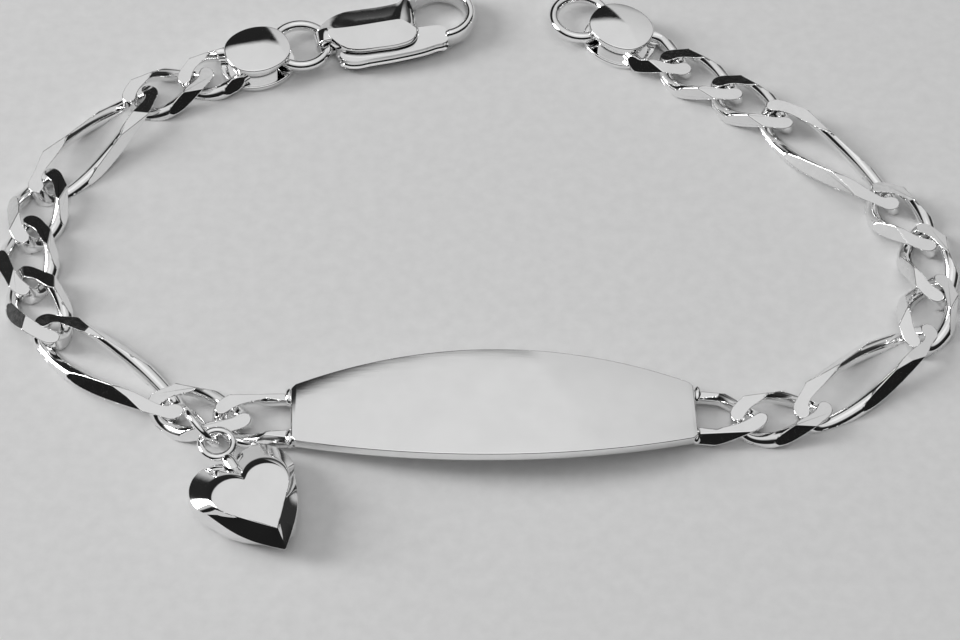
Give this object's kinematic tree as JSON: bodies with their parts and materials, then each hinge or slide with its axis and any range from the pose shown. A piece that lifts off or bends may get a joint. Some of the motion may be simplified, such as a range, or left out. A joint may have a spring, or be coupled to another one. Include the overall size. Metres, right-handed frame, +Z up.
{
  "type": "id bracelet",
  "caption": "Figaro-link identity bracelet with an arched blank name plate, a lobster clasp with a sprung lever and a puffed heart charm, lying open.",
  "frame": {"origin": "middle of the whole object's footprint, on the surface it lies on", "axes": "+X along the name plate towards its right end, +Y from the plate towards the clasp, +Z up out of the surface"},
  "size_m": [0.0808, 0.0586, 0.0039],
  "materials": {
    "silver": "ground and polished sterling silver",
    "polished_silver": "mirror polished sterling silver"
  },
  "bodies": {
    "bracelet": {"id_plate": "silver", "left_link_2": "silver", "left_link_3": "silver", "left_link_4": "silver", "left_link_5": "silver", "left_link_6": "silver", "left_link_7": "silver", "left_link_8": "silver", "left_end_tag": "silver", "jump_ring": "polished_silver", "clasp_body": "polished_silver", "right_link_2": "silver", "right_link_3": "silver", "right_link_4": "silver", "right_link_5": "silver", "right_link_6": "silver", "right_link_7": "silver", "right_link_8": "silver", "right_link_9": "silver", "right_end_tag": "silver", "end_ring": "polished_silver", "charm_ring": "polished_silver", "heart_charm": "polished_silver"},
    "lever": {"clasp_lever": "polished_silver"}
  },
  "joints": [
    {"name": "lever_hinge", "type": "hinge", "parent": "bracelet", "child": "lever", "pos_m": [-0.00814, 0.02304, 0.00115], "axis": [0, 0, 1], "range_deg": [0, 22], "stiffness_Nm_per_rad": 0.008, "springref_deg": -8.59}
  ]
}
